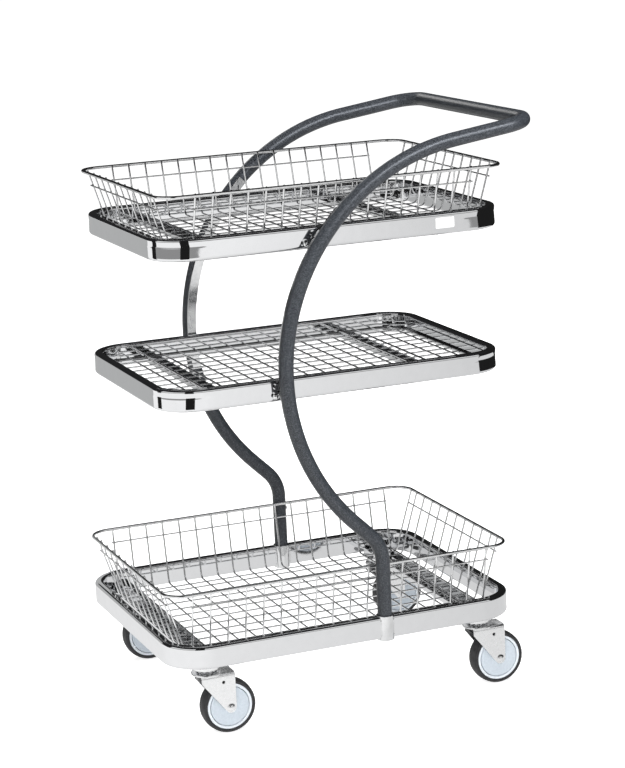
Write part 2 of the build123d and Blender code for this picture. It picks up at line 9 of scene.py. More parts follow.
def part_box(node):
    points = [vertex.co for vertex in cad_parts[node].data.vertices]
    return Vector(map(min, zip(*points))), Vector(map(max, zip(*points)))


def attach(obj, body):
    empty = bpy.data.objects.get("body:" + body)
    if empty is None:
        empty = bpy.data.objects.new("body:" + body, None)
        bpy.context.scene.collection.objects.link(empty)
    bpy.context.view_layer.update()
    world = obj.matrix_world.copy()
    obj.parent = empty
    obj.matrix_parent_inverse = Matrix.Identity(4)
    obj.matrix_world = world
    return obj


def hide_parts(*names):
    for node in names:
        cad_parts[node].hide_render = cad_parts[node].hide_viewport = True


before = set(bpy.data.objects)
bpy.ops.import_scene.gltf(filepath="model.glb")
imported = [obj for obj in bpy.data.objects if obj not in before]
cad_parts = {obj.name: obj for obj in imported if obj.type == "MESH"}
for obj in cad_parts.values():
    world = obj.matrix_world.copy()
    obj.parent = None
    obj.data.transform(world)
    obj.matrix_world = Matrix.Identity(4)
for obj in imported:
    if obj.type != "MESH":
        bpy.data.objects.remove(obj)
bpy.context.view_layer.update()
random.seed(7)

# A three-tier wire shelf cart. Everything is in metres in the frame of the CAD model: +Z up,
# the floor at z = 0, +X towards the push handle. Most places come from the CAD nodes' boxes.
MM = 0.001
CORNERS = ("front_left", "front_right", "rear_left", "rear_right")


# ---- Materials -------------------------------------------------------------------------
class Shader:
    """A Principled material with short calls for the nodes that give it its detail."""

    def __init__(self, name, metallic, roughness):
        self.material = bpy.data.materials.new(name)
        self.material.use_nodes = True
        self.tree = self.material.node_tree
        self.surface = self.tree.nodes["Principled BSDF"]
        self.surface.inputs["Metallic"].default_value = metallic
        self.surface.inputs["Roughness"].default_value = roughness
        self.place = self.tree.nodes.new("ShaderNodeTexCoord")

    def link(self, source, target):
        self.tree.links.new(source, target)

    def noise(self, scale, detail):
        node = self.tree.nodes.new("ShaderNodeTexNoise")
        node.inputs["Scale"].default_value = scale
        node.inputs["Detail"].default_value = detail
        self.link(self.place.outputs["Object"], node.inputs["Vector"])
        return node.outputs["Fac"]

    def cells(self, scale):
        node = self.tree.nodes.new("ShaderNodeTexVoronoi")
        node.inputs["Scale"].default_value = scale
        self.link(self.place.outputs["Object"], node.inputs["Vector"])
        return node.outputs["Distance"]

    def ramp(self, source, stops):
        """stops: (position, colour) pairs; a colour is three numbers or one grey value."""
        node = self.tree.nodes.new("ShaderNodeValToRGB")
        steps = node.color_ramp.elements
        while len(steps) < len(stops):
            steps.new(0.5)
        for step, (position, colour) in zip(steps, stops):
            if not isinstance(colour, tuple):
                colour = (colour,) * 3
            step.position = position
            step.color = (*colour, 1.0)
        self.link(source, node.inputs["Fac"])
        return node.outputs["Color"]

    def colour(self, source, stops):
        self.link(self.ramp(source, stops), self.surface.inputs["Base Color"])

    def roughness(self, source, low, high):
        self.link(self.ramp(source, [(0.3, low), (0.7, high)]), self.surface.inputs["Roughness"])

    def bump(self, source, strength, depth):
        node = self.tree.nodes.new("ShaderNodeBump")
        node.inputs["Strength"].default_value = strength
        node.inputs["Distance"].default_value = depth
        self.link(source, node.inputs["Height"])
        self.link(node.outputs["Normal"], self.surface.inputs["Normal"])

    def mixed(self, first, second, factor):
        node = self.tree.nodes.new("ShaderNodeMix")
        node.inputs["Factor"].default_value = factor
        self.link(first, node.inputs["A"])
        self.link(second, node.inputs["B"])
        return node.outputs["Result"]


def chrome(name, bright, dull, rough_low, rough_high, wave):
    """Bright plate: nearly a mirror, with faint clouding and a slight wave of that depth."""
    shader = Shader(name, metallic=1.0, roughness=rough_low)
    cloud = shader.noise(scale=60.0, detail=4.0)
    shader.colour(cloud, [(0.35, dull), (0.65, bright)])
    shader.roughness(shader.noise(scale=140.0, detail=5.0), rough_low, rough_high)
    shader.bump(shader.noise(scale=26.0, detail=1.0), strength=0.25, depth=wave)
    return shader.material


def hammered_paint():
    """Dark grey hammered powder coat: small soft pits with paler flecks."""
    shader = Shader("hammered_grey_paint", metallic=0.0, roughness=0.3)
    pits = shader.cells(scale=620.0)
    flecks = shader.noise(scale=900.0, detail=2.0)
    blend = shader.mixed(pits, flecks, factor=0.5)
    shader.colour(blend, [(0.30, (0.009, 0.010, 0.012)), (0.46, (0.015, 0.017, 0.020)),
                          (0.62, (0.05, 0.054, 0.06))])
    shader.roughness(shader.noise(scale=300.0, detail=3.0), low=0.27, high=0.37)
    shader.bump(pits, strength=0.3, depth=0.3 * MM)
    shader.surface.inputs["Specular IOR Level"].default_value = 0.36
    return shader.material


def zinc():
    """Pale zinc plate with a fine mottle."""
    shader = Shader("zinc_plated_steel", metallic=1.0, roughness=0.3)
    mottle = shader.noise(scale=260.0, detail=4.0)
    shader.colour(mottle, [(0.3, (0.88, 0.885, 0.89)), (0.7, (0.95, 0.955, 0.96))])
    shader.roughness(shader.noise(scale=220.0, detail=4.0), low=0.24, high=0.34)
    shader.bump(shader.noise(scale=60.0, detail=1.0), strength=0.1, depth=0.05 * MM)
    return shader.material


def tyre_rubber():
    """Black rubber, dull and finely grained."""
    shader = Shader("tyre_rubber", metallic=0.0, roughness=0.62)
    dust = shader.noise(scale=180.0, detail=5.0)
    shader.colour(dust, [(0.3, (0.012, 0.012, 0.013)), (0.7, (0.028, 0.028, 0.030))])
    shader.roughness(shader.noise(scale=90.0, detail=4.0), low=0.5, high=0.72)
    shader.bump(shader.noise(scale=700.0, detail=3.0), strength=0.3, depth=0.3 * MM)
    return shader.material


def moulded_plastic(name, low, high, rough):
    """Plastic of a nearly even colour between low and high, with a fine grain."""
    shader = Shader(name, metallic=0.0, roughness=rough)
    shader.colour(shader.noise(scale=320.0, detail=4.0), [(0.35, low), (0.65, high)])
    shader.roughness(shader.noise(scale=150.0, detail=3.0), rough - 0.06, rough + 0.06)
    shader.bump(shader.noise(scale=1100.0, detail=2.0), strength=0.2, depth=0.2 * MM)
    return shader.material


TUBE_CHROME = chrome("tube_chrome", bright=(0.79, 0.795, 0.805), dull=(0.775, 0.78, 0.79),
                     rough_low=0.03, rough_high=0.055, wave=0.06 * MM)
WIRE_CHROME = chrome("wire_chrome", bright=(0.90, 0.905, 0.91), dull=(0.82, 0.825, 0.83),
                     rough_low=0.14, rough_high=0.22, wave=0.12 * MM)
# Painted shade: the deck's edge wire is the same chrome as the other wires, but its plate is
# painted much darker so that it reads as a dark line.
EDGE_CHROME_PAINTED_DARK = chrome("edge_wire_chrome_painted_dark", bright=(0.30, 0.302, 0.306), dull=(0.24, 0.242, 0.246),
                     rough_low=0.08, rough_high=0.14, wave=0.08 * MM)
FITTING_CHROME = chrome("fitting_chrome", bright=(0.82, 0.825, 0.83), dull=(0.74, 0.745, 0.75),
                        rough_low=0.08, rough_high=0.15, wave=0.12 * MM)
BALL_STEEL = chrome("ball_steel", bright=(0.66, 0.665, 0.68), dull=(0.58, 0.585, 0.60),
                    rough_low=0.12, rough_high=0.2, wave=0.05 * MM)
LEG_PAINT = hammered_paint()
ZINC = zinc()
RUBBER = tyre_rubber()
RING_PLASTIC = moulded_plastic("wheel_ring_plastic", (0.58, 0.62, 0.66), (0.64, 0.68, 0.72), 0.5)
DISC_PLASTIC = moulded_plastic("wheel_disc_plastic", (0.43, 0.48, 0.53), (0.48, 0.53, 0.58), 0.55)
BUSH_PLASTIC = moulded_plastic("bush_plastic", (0.66, 0.67, 0.68), (0.74, 0.75, 0.76), 0.5)
LABEL_PAPER = moulded_plastic("label_film", (0.84, 0.84, 0.83), (0.90, 0.90, 0.89), 0.45)


# ---- Mesh helpers ----------------------------------------------------------------------
def mesh_piece(name, verts, faces, material, smooth=True):
    mesh = bpy.data.meshes.new(name)
    mesh.from_pydata([tuple(v) for v in verts], [], faces)
    mesh.validate()
    mesh.update()
    if smooth:
        mesh.shade_smooth()
    mesh.materials.append(material)
    piece = bpy.data.objects.new(name, mesh)
    bpy.context.scene.collection.objects.link(piece)
    return piece


def belong(piece, body, slot, *nodes):
    """The piece rides on a body and stands for CAD nodes; the slot is not used."""
    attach(piece, body)
    if nodes:
        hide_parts(*nodes)
    return piece


class Shape:
    """Collects the verts and faces of one piece that is made of several closed skins."""

    def __init__(self):
        self.verts = []
        self.faces = []

    def grid(self, rows, closed_rows=False, closed_columns=True, caps=False):
        """Rows of equal length become a skin of quads, closed round either way."""
        base = len(self.verts)
        count = len(rows)
        width = len(rows[0])
        for row in rows:
            self.verts.extend(row)
        for i in range(count if closed_rows else count - 1):
            here = base + i * width
            there = base + (i + 1) % count * width
            for j in range(width if closed_columns else width - 1):
                k = (j + 1) % width
                self.faces.append((here + j, here + k, there + k, there + j))
        if caps:
            self.faces.append(tuple(base + j for j in reversed(range(width))))
            self.faces.append(tuple(base + (count - 1) * width + j for j in range(width)))

    def lathe(self, profile, matrix, steps):
        """Turns a closed profile of (radius, height) points about the matrix's Z axis."""
        rows = []
        for i in range(steps):
            angle = 2 * math.pi * i / steps
            rows.append([matrix @ Vector((r * math.cos(angle), r * math.sin(angle), h))
                         for r, h in profile])
        self.grid(rows, closed_rows=True)

    def wire(self, points, radius, sides, closed=False, rounded=True):
        """A round wire along points, with rounded ends if it is open."""
        rows = []
        count = len(points)
        normal = None
        for i, point in enumerate(points):
            before = points[(i - 1) % count] if closed or i else point
            after = points[(i + 1) % count] if closed or i < count - 1 else point
            tangent = (after - before).normalized()
            if normal is None:
                helper = Vector((0, 0, 1)) if abs(tangent.z) < 0.9 else Vector((1, 0, 0))
                normal = tangent.cross(helper).normalized()
            normal = (normal - tangent * normal.dot(tangent)).normalized()
            side = tangent.cross(normal)
            ring = []
            for j in range(sides):
                angle = 2 * math.pi * j / sides
                ring.append((normal * math.cos(angle) + side * math.sin(angle)) * radius)
            if rounded and not closed and i in (0, count - 1):
                dome = self.dome(point, tangent * (1 if i else -1), ring, radius)
                rows.extend(dome if i else dome[::-1])
            else:
                rows.append([point + offset for offset in ring])
        self.grid(rows, closed_rows=closed, caps=not closed)

    @staticmethod
    def dome(point, outward, ring, radius):
        """Rings that round off a wire's end, from full size to almost a point."""
        rows = []
        for degrees in (0, 35, 65, 85):
            size = math.cos(math.radians(degrees))
            push = outward * radius * (math.sin(math.radians(degrees)) - 1)
            rows.append([point + push + offset * size for offset in ring])
        return rows

    def piece(self, name, material, smooth=True):
        return mesh_piece(name, self.verts, self.faces, material, smooth)


def ring_section(half_x, half_y, corner, corner_steps, run_steps, margin):
    """A rounded rectangle as (x, y, normal x, normal y, distance to the nearest corner's
    middle), with extra points on the margin at each end of a straight run."""
    margin_steps = 6
    result = []
    arc = corner * math.pi / 2
    for quarter in range(4):
        start = quarter * math.pi / 2
        sign_x = (1, -1, -1, 1)[quarter]
        sign_y = (1, 1, -1, -1)[quarter]
        centre_x = sign_x * (half_x - corner)
        centre_y = sign_y * (half_y - corner)
        for i in range(corner_steps + 1):
            share = i / corner_steps
            angle = start + share * math.pi / 2
            nx = math.cos(angle)
            ny = math.sin(angle)
            result.append((centre_x + corner * nx, centre_y + corner * ny, nx, ny,
                           abs(share - 0.5) * arc))
        run = 2 * ((half_y if quarter in (1, 3) else half_x) - corner)
        nx = math.cos(start + math.pi / 2)
        ny = math.sin(start + math.pi / 2)
        end_x = centre_x + corner * nx
        end_y = centre_y + corner * ny
        marks = [margin * (i + 1) / margin_steps for i in range(margin_steps)]
        marks += [margin + (run - 2 * margin) * (i + 1) / run_steps for i in range(run_steps - 1)]
        marks += [run - m for m in reversed(marks[:margin_steps])]
        for mark in marks:
            near = min(mark, run - mark)
            result.append((end_x - ny * mark, end_y + nx * mark, nx, ny, arc / 2 + near))
    return result


# ---- Frames of rounded rectangular tube ------------------------------------------------
RAIL = 18 * MM
RAIL_EDGE = 6 * MM


def rail_section(height):
    """The rail's outline as (outward, up) points about its centre, flats held by close
    points so that they shade flat."""
    half_u = RAIL / 2
    half_w = height / 2
    hold = 0.5 * MM
    turn_steps = 8
    wall_steps = 22
    top_steps = 2
    outline = []
    for quarter in range(4):
        sign_u = (1, -1, -1, 1)[quarter]
        sign_w = (1, 1, -1, -1)[quarter]
        centre_u = sign_u * (half_u - RAIL_EDGE)
        centre_w = sign_w * (half_w - RAIL_EDGE)
        for i in range(turn_steps + 1):
            angle = quarter * math.pi / 2 + i / turn_steps * math.pi / 2
            outline.append((centre_u + RAIL_EDGE * math.cos(angle),
                            centre_w + RAIL_EDGE * math.sin(angle)))
        angle = (quarter + 1) * math.pi / 2
        along = (-math.sin(angle), math.cos(angle))
        run = 2 * ((half_w if quarter in (1, 3) else half_u) - RAIL_EDGE)
        last = outline[-1]
        steps = wall_steps if quarter in (1, 3) else top_steps
        marks = [hold] + [run * (i + 1) / steps for i in range(steps - 1)] + [run - hold]
        for mark in marks:
            outline.append((last[0] + along[0] * mark, last[1] + along[1] * mark))
    return outline


def crease(w, half_w):
    """How far the outer wall of a tight bend has sunk at height w, from 0 to 1: it leans in
    from the top edge down to a crease above the middle, springs back a little just under the
    crease, and comes evenly back to nothing at the bottom edge."""
    deepest = 5 * MM
    spring = 1.2 * MM
    spring_back = 0.28
    if w >= deepest:
        share = (half_w - w) / (half_w - deepest)
        return share ** 1.5
    if w >= deepest - spring:
        share = (deepest - w) / spring
        return 1 - spring_back * share * share * (3 - 2 * share)
    return (1 - spring_back) * (w + half_w) / (deepest - spring + half_w)


def dent(w, half_w):
    """A shallow dent a little below the middle of the outer wall."""
    drop = 0.25 * half_w
    width = 0.55 * half_w
    sharpness = 1.6
    share = (w + drop) / width
    return math.exp(-share * share * sharpness)


def rail_frame(name, node, corner, sink, depth, reach):
    """A closed frame of bent tube. At the bends, and for reach beyond them, the outer wall
    sinks by up to depth in the manner of sink, and the inner wall buckles."""
    buckle_depth = 2.6 * MM
    buckle_pitch = 5.5 * MM
    low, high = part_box(node)
    centre = (low + high) / 2
    half_x = (high.x - low.x) / 2 - RAIL / 2
    half_y = (high.y - low.y) / 2 - RAIL / 2
    half_w = (high.z - low.z) / 2
    section = rail_section(2 * half_w)
    middle = corner - RAIL / 2
    span = middle * math.pi / 4 + reach
    rows = []
    ring = ring_section(half_x, half_y, middle, corner_steps=24, run_steps=10, margin=34 * MM)
    for x, y, nx, ny, away in ring:
        bend = math.cos(min(1.0, away / span) * math.pi / 2) ** 2
        row = []
        for u, w in section:
            wall = 1 - (abs(w) / half_w) ** 6
            if u > 0:
                shift = -depth * bend * sink(w, half_w) * wall
            else:
                buckle = 0.65 + 0.35 * math.cos(away / buckle_pitch)
                shift = buckle_depth * bend * buckle * wall
            row.append(Vector((centre.x + x + nx * (u + shift),
                               centre.y + y + ny * (u + shift), centre.z + w)))
        rows.append(row)
    shape = Shape()
    shape.grid(rows, closed_rows=True)
    belong(shape.piece(name, TUBE_CHROME), "cart", "chrome_tube", node)


# ---- Legs and handle -------------------------------------------------------------------
LEG_RADIUS = 13 * MM


def arc_points(centre, radius, start, stop, step):
    """Points on an arc in the XZ plane, without its first; angles in degrees from +X towards
    +Z."""
    count = max(2, math.ceil(abs(math.radians(stop - start)) * radius / step))
    return [Vector((centre.x + radius * math.cos(math.radians(a)), 0,
                    centre.z + radius * math.sin(math.radians(a))))
            for a in (start + (stop - start) * i / count for i in range(1, count + 1))]


def leg_path():
    """The tube's centre line: near leg, handle corner, cross bar, and the same mirrored."""
    low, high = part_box("leg_and_handle_tube")
    foot_low, foot_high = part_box("leg_sockets")
    foot_x = (foot_low.x + foot_high.x) / 2
    leg_y = (high.y - low.y) / 2 - LEG_RADIUS
    bar_x = high.x - LEG_RADIUS
    lower_z = 277 * MM
    lower_radius = 69 * MM
    lower_turn = 45.5
    lean_run = 42 * MM
    bow_radius = 391 * MM
    rise = 8.0
    corner = 50 * MM
    foot_steps = 20
    lean_steps = 6
    rise_steps = 16
    corner_steps = 24
    bar_steps = 12
    path = [Vector((foot_x, 0, low.z + (lower_z - low.z) * i / foot_steps))
            for i in range(foot_steps + 1)]
    path += arc_points(Vector((foot_x - lower_radius, 0, lower_z)), lower_radius, 0, lower_turn,
                       step=3 * MM)
    lean = math.radians(90 + lower_turn)
    along = Vector((math.cos(lean), 0, math.sin(lean)))
    path += [path[-1] + along * (lean_run * (i + 1) / lean_steps) for i in range(lean_steps)]
    bow_centre = path[-1] + Vector((math.sin(lean), 0, -math.cos(lean))) * bow_radius
    path += arc_points(bow_centre, bow_radius, 180 + lower_turn, 90 + rise, step=6 * MM)
    slope = Vector((math.cos(math.radians(rise)), 0, math.sin(math.radians(rise))))
    run = (bar_x - path[-1].x) / slope.x - corner
    path += [path[-1] + slope * (run * (i + 1) / rise_steps) for i in range(rise_steps)]
    half = [p + Vector((0, -leg_y, 0)) for p in path]
    centre = half[-1] + Vector((0, corner, 0))
    for i in range(1, corner_steps + 1):
        angle = math.radians(90 * i / corner_steps)
        half.append(centre + slope * corner * math.sin(angle)
                    - Vector((0, corner * math.cos(angle), 0)))
    bar = half[-1]
    half += [Vector((bar.x, bar.y * (1 - (i + 1) / bar_steps), bar.z))
             for i in range(bar_steps - 1)]
    middle = Vector((bar.x, 0, bar.z))
    return half + [middle] + [Vector((p.x, -p.y, p.z)) for p in reversed(half)]


def leg_and_handle():
    shape = Shape()
    shape.wire(leg_path(), LEG_RADIUS, sides=48, rounded=False)
    belong(shape.piece("bent_tube_legs_and_handle", LEG_PAINT), "cart", "grey_hammered_paint",
           "leg_and_handle_tube")


# ---- Welded wire deck ------------------------------------------------------------------
DECK_WIRE = 1.75 * MM
EDGE_WIRE = 2.5 * MM


def patches_of(node):
    """The separate face patches of one CAD node, each as (lowest corner, highest corner). The
    imported mesh is split between faces, so a straight wire gives three: its side and its two
    ends. A bent basket wire gives seven."""
    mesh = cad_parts[node].data
    parent = list(range(len(mesh.vertices)))

    def find(i):
        while parent[i] != i:
            parent[i] = parent[parent[i]]
            i = parent[i]
        return i

    for edge in mesh.edges:
        a, b = edge.vertices
        parent[find(a)] = find(b)
    boxes = {}
    for vertex in mesh.vertices:
        root = find(vertex.index)
        co = vertex.co
        if root in boxes:
            low, high = boxes[root]
            boxes[root] = (Vector(map(min, low, co)), Vector(map(max, high, co)))
        else:
            boxes[root] = (co.copy(), co.copy())
    return sorted(boxes.values(), key=lambda pair: (round(pair[0].x, 4), round(pair[0].y, 4)))


def straight_wires(name, node, axis):
    """The straight wires of one node, each a very little out of true. The end patches come
    along as wires of no length."""
    steps = 8
    most_sway = 0.25
    shape = Shape()
    for low, high in patches_of(node):
        middle = (low + high) / 2
        half = (high[axis] - low[axis]) / 2
        sway = random.uniform(-most_sway, most_sway) * MM
        points = []
        for i in range(steps + 1):
            t = 2 * i / steps - 1
            point = middle.copy()
            point[axis] += half * t
            point[1 - axis] += sway * (1 - t * t)
            points.append(point)
        shape.wire(points, DECK_WIRE, sides=14)
    belong(shape.piece(name, WIRE_CHROME), "cart", "chrome_wire", node)


def weld_drop(shape, centre, size_x, size_y, size_z):
    """A small rounded lump of weld where two wires cross."""
    bands = 6
    sides = 8
    rows = []
    for i in range(1, bands):
        polar = math.pi * i / bands
        rows.append([centre + Vector((size_x * math.sin(polar) * math.cos(a),
                                      size_y * math.sin(polar) * math.sin(a),
                                      size_z * math.cos(polar)))
                     for a in (2 * math.pi * j / sides for j in range(sides))])
    shape.grid(rows, caps=True)


def crossing_welds(name, long_node, cross_node):
    """Welds at every crossing of the long wires with the cross wires; the patches at the
    wires' ends cross nothing."""
    weld_wide = 2.0 * MM
    weld_high = 1.1 * MM
    shape = Shape()
    for low, high in patches_of(long_node):
        y = (low.y + high.y) / 2
        for other_low, other_high in patches_of(cross_node):
            if not (other_low.y < y < other_high.y):
                continue
            x = (other_low.x + other_high.x) / 2
            if not (low.x < x < high.x):
                continue
            weld_drop(shape, Vector((x, y, (high.z + other_low.z) / 2)), weld_wide, weld_wide,
                      weld_high)
    belong(shape.piece(name, WIRE_CHROME), "cart", "chrome_wire")


def edge_wire(name, node, corner):
    """The closed wire that runs round the inside of a frame."""
    low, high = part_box(node)
    centre = (low + high) / 2
    half_x = (high.x - low.x) / 2 - EDGE_WIRE
    half_y = (high.y - low.y) / 2 - EDGE_WIRE
    points = [Vector((centre.x + x, centre.y + y, centre.z))
              for x, y, *_ in ring_section(half_x, half_y, corner, corner_steps=20, run_steps=6,
                                           margin=6 * MM)]
    shape = Shape()
    shape.wire(points, EDGE_WIRE, sides=16, closed=True)
    # The edge wire takes the chrome with the painted shade, darker than the other wires.
    belong(shape.piece(name, EDGE_CHROME_PAINTED_DARK), "cart", "chrome_wire", node)


# ---- Baskets ---------------------------------------------------------------------------
BASKET_WIRE = 1.5 * MM
RIM_WIRE = 3 * MM


def fillet_path(points, radius, steps):
    """A polyline with its inner corners rounded."""
    result = [points[0]]
    for before, corner, after in zip(points, points[1:], points[2:]):
        inward = (before - corner).normalized()
        outward = (after - corner).normalized()
        half_angle = inward.angle(outward) / 2
        setback = radius / math.tan(half_angle)
        centre = corner + (inward + outward).normalized() * (radius / math.sin(half_angle))
        start = corner + inward * setback - centre
        finish = corner + outward * setback - centre
        turn = start.angle(finish)
        for i in range(steps + 1):
            t = i / steps
            result.append(centre + (start * math.sin((1 - t) * turn)
                                    + finish * math.sin(t * turn)) / math.sin(turn))
    return result + [points[-1]]


def spread(points, step):
    """The same path with more points on its long runs."""
    result = [points[0]]
    for a, b in zip(points, points[1:]):
        count = max(1, round((b - a).length / step))
        result += [a.lerp(b, (i + 1) / count) for i in range(count)]
    return result


def basket_rim(name):
    """The thick closed wire round the top."""
    low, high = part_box(name + "_rim")
    centre = (low + high) / 2
    half_x = (high.x - low.x) / 2 - RIM_WIRE
    half_y = (high.y - low.y) / 2 - RIM_WIRE
    rim = Shape()
    rim.wire([Vector((centre.x + x, centre.y + y, centre.z))
              for x, y, *_ in ring_section(half_x, half_y, corner=39 * MM, corner_steps=18,
                                           run_steps=8, margin=6 * MM)],
             RIM_WIRE, sides=18, closed=True)
    belong(rim.piece(name + "_top_rim", WIRE_CHROME), name, "chrome_wire", name + "_rim")
    return centre


def basket_wire(across, axis, top_half, floor_half, top_z, floor_z):
    """One wire that runs along axis: down one wall, over the floor and up the other wall."""
    bend = 10 * MM
    bend_steps = 7
    corners = []
    for half, z in ((-top_half, top_z), (-floor_half, floor_z), (floor_half, floor_z),
                    (top_half, top_z)):
        point = across.copy()
        point[axis] += half
        point.z = z
        corners.append(point)
    return spread(fillet_path(corners, bend, bend_steps), step=40 * MM)


def rim_weld(welds, across, axis, side, top_half, rim_z):
    """The weld where a wire's end meets the rim, on one side of the basket."""
    outward = 0.9 * BASKET_WIRE - 0.2 * MM
    weld_wide = 1.9 * MM
    weld_deep = 1.6 * MM
    weld_high = 2.2 * MM
    spot = across.copy()
    spot[axis] += side * (top_half + outward)
    spot.z = rim_z
    size = [weld_wide, weld_wide]
    size[axis] = weld_deep
    weld_drop(welds, spot, size[0], size[1], weld_high)


def basket(name, floor_half_x, floor_half_y):
    """Rim, bent wires both ways, band wires and the welds between them. Every face patch of a
    bent CAD wire brings its own wire and welds, each a very little to the side of the others,
    and the end patches of the band wires bring short stubs."""
    most_shift = 0.3
    floor_weld_wide = 1.7 * MM
    floor_weld_high = 0.9 * MM
    centre = basket_rim(name)

    wires = Shape()
    welds = Shape()
    floors = {}
    for axis, node, floor_half in ((0, name + "_long_wires", floor_half_x),
                                   (1, name + "_cross_wires", floor_half_y)):
        low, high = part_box(node)
        top_half = (high[axis] - low[axis]) / 2 - BASKET_WIRE
        floors[axis] = []
        for patch_low, patch_high in patches_of(node):
            place = (patch_low[1 - axis] + patch_high[1 - axis]) / 2
            floors[axis].append(place)
            across = centre.copy()
            across[1 - axis] = place + random.uniform(-most_shift, most_shift) * MM
            wires.wire(basket_wire(across, axis, top_half, floor_half, high.z - BASKET_WIRE,
                                   low.z + BASKET_WIRE), BASKET_WIRE, sides=12)
            for side in (-1, 1):
                rim_weld(welds, across, axis, side, top_half, centre.z)
    long_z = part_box(name + "_long_wires")[0].z + 2 * BASKET_WIRE
    for y in floors[0]:
        for x in floors[1]:
            weld_drop(welds, Vector((x, y, long_z)), floor_weld_wide, floor_weld_wide,
                      floor_weld_high)
    belong(wires.piece(name + "_bent_wires", WIRE_CHROME), name, "chrome_wire",
           name + "_long_wires", name + "_cross_wires")

    bands = Shape()
    for low, high in patches_of(name + "_band_wires"):
        axis = 0 if high.x - low.x > high.y - low.y else 1
        start = (low + high) / 2
        finish = start.copy()
        start[axis] = low[axis]
        finish[axis] = high[axis]
        bands.wire(spread([start, finish], step=60 * MM), BASKET_WIRE, sides=12)
    belong(bands.piece(name + "_bands", WIRE_CHROME), name, "chrome_wire", name + "_band_wires")
    belong(welds.piece(name + "_welds", WIRE_CHROME), name, "chrome_wire")


# ---- Sockets ---------------------------------------------------------------------------
def rounded_profile(inner, outer, low, high, edge):
    """A tube wall as a closed (radius, height) profile with rounded corners."""
    steps = 5
    corners = ((outer - edge, low + edge, -90), (outer - edge, high - edge, 0),
               (inner + edge, high - edge, 90), (inner + edge, low + edge, 180))
    profile = []
    for r, h, start in corners:
        for i in range(steps + 1):
            angle = math.radians(start + 90 * i / steps)
            profile.append((r + edge * math.cos(angle), h + edge * math.sin(angle)))
    return profile


def leg_sockets():
    """Plated tubes that hold the feet of the legs, with weld beads along the rail."""
    gap = 0.05 * MM
    edge = 0.9 * MM
    low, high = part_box("leg_sockets")
    radius = (high.x - low.x) / 2
    centre_x = (low.x + high.x) / 2
    side_y = (high.y - low.y) / 2 - radius
    sockets = Shape()
    for side in (-1, 1):
        place = Matrix.Translation((centre_x, side * side_y, 0))
        sockets.lathe(rounded_profile(LEG_RADIUS + gap, radius, low.z, high.z, edge), place,
                      steps=48)
    belong(sockets.piece("leg_socket_tubes", FITTING_CHROME), "cart", "chrome_hardware",
           "leg_sockets")
    socket_weld_beads(centre_x, side_y, radius)


def socket_weld_beads(centre_x, side_y, radius):
    """Upright beads where each socket meets the two faces of the base rail."""
    hold = 0.3 * MM
    stand_off = 0.4 * MM
    bead = 1.3 * MM
    most_extra = 0.2
    steps = 24
    rail_low, rail_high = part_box("base_frame")
    face_y = rail_high.y - RAIL
    foot = rail_low.z + RAIL_EDGE
    rise = rail_high.z - rail_low.z - 2 * RAIL_EDGE
    beads = Shape()
    for side in (-1, 1):
        for end in (-1, 1):
            for y, inward in ((face_y, hold), (rail_high.y, -hold)):
                offset = y - side_y
                x = centre_x + end * math.sqrt(max(radius ** 2 - offset ** 2, 0))
                points = [Vector((x + end * stand_off, side * (y + inward),
                                  foot + rise * i / steps)) for i in range(steps + 1)]
                beads.wire(points, bead + random.uniform(0, most_extra) * MM, sides=10)
    belong(beads.piece("socket_weld_beads", FITTING_CHROME), "cart", "chrome_hardware")


# ---- Casters ---------------------------------------------------------------------------
TRAIL = 36 * MM
AXLE_Z = 50 * MM
FORK_INNER = 18.5 * MM
FORK_SHEET = 2.5 * MM
FORK_EYE = 10 * MM


def turned_about_axle(name, profile, centre, material, body, slot, steps, *nodes):
    """A piece turned about the wheel's axle; profile is (radius, sideways) points."""
    place = Matrix.Translation(centre) @ Matrix.Rotation(-math.pi / 2, 4, "X")
    shape = Shape()
    shape.lathe(profile, place, steps)
    belong(shape.piece(name, material), body, slot, *nodes)


def tyre_profile(outer, inner, half):
    """Slightly crowned tread, soft shoulders and nearly flat side walls."""
    shoulder = 5 * MM
    shoulder_drop = 4 * MM
    crown = 0.9 * MM
    shoulder_steps = 8
    tread_steps = 12
    right = []
    for i in range(shoulder_steps + 1):
        angle = math.radians(90 * i / shoulder_steps)
        right.append((outer - crown - shoulder_drop * (1 - math.cos(angle)),
                      half - shoulder + shoulder * math.sin(angle)))
    tread = [(outer - crown * (y / (half - shoulder)) ** 2, y)
             for y in ((half - shoulder) * (2 * i / tread_steps - 1) for i in range(tread_steps))]
    side = [(outer - 6.2 * MM, half - 0.35 * MM), (inner + 0.6 * MM, half - 0.9 * MM),
            (inner, half - 1.3 * MM)]
    left = [(r, -y) for r, y in reversed(right + side)]
    return left + tread[1:] + right + side


def both_sides(right):
    """A closed profile from its right half, given from the inside outwards."""
    return [(r, -y) for r, y in right] + [(r, y) for r, y in reversed(right)]


def wheel_ring_profile(outer, groove, half):
    """The pale ring between the tyre and the groove, with a stepped edge."""
    return both_sides([(groove, half - 1.6 * MM), (groove + 0.4 * MM, half - 0.4 * MM),
                       (groove + 0.9 * MM, half - 0.1 * MM), (outer - 0.8 * MM, half - 0.1 * MM),
                       (outer - 0.2 * MM, half - 0.5 * MM), (outer, half - 1.2 * MM)])


def wheel_disc_profile(outer, hub, half):
    """The thread guard's face: nearly flat, with a soft rim and a raised hub boss."""
    return both_sides([(outer - 0.1 * MM, half - 1.8 * MM), (outer - 0.4 * MM, half - 0.7 * MM),
                       (outer - 1.2 * MM, half - 0.4 * MM), (outer * 0.6, half - 0.7 * MM),
                       (hub + 6 * MM, half - 0.6 * MM), (hub + 4 * MM, half - 0.2 * MM),
                       (hub + 2 * MM, half + 0.6 * MM), (hub, half + 0.8 * MM)])


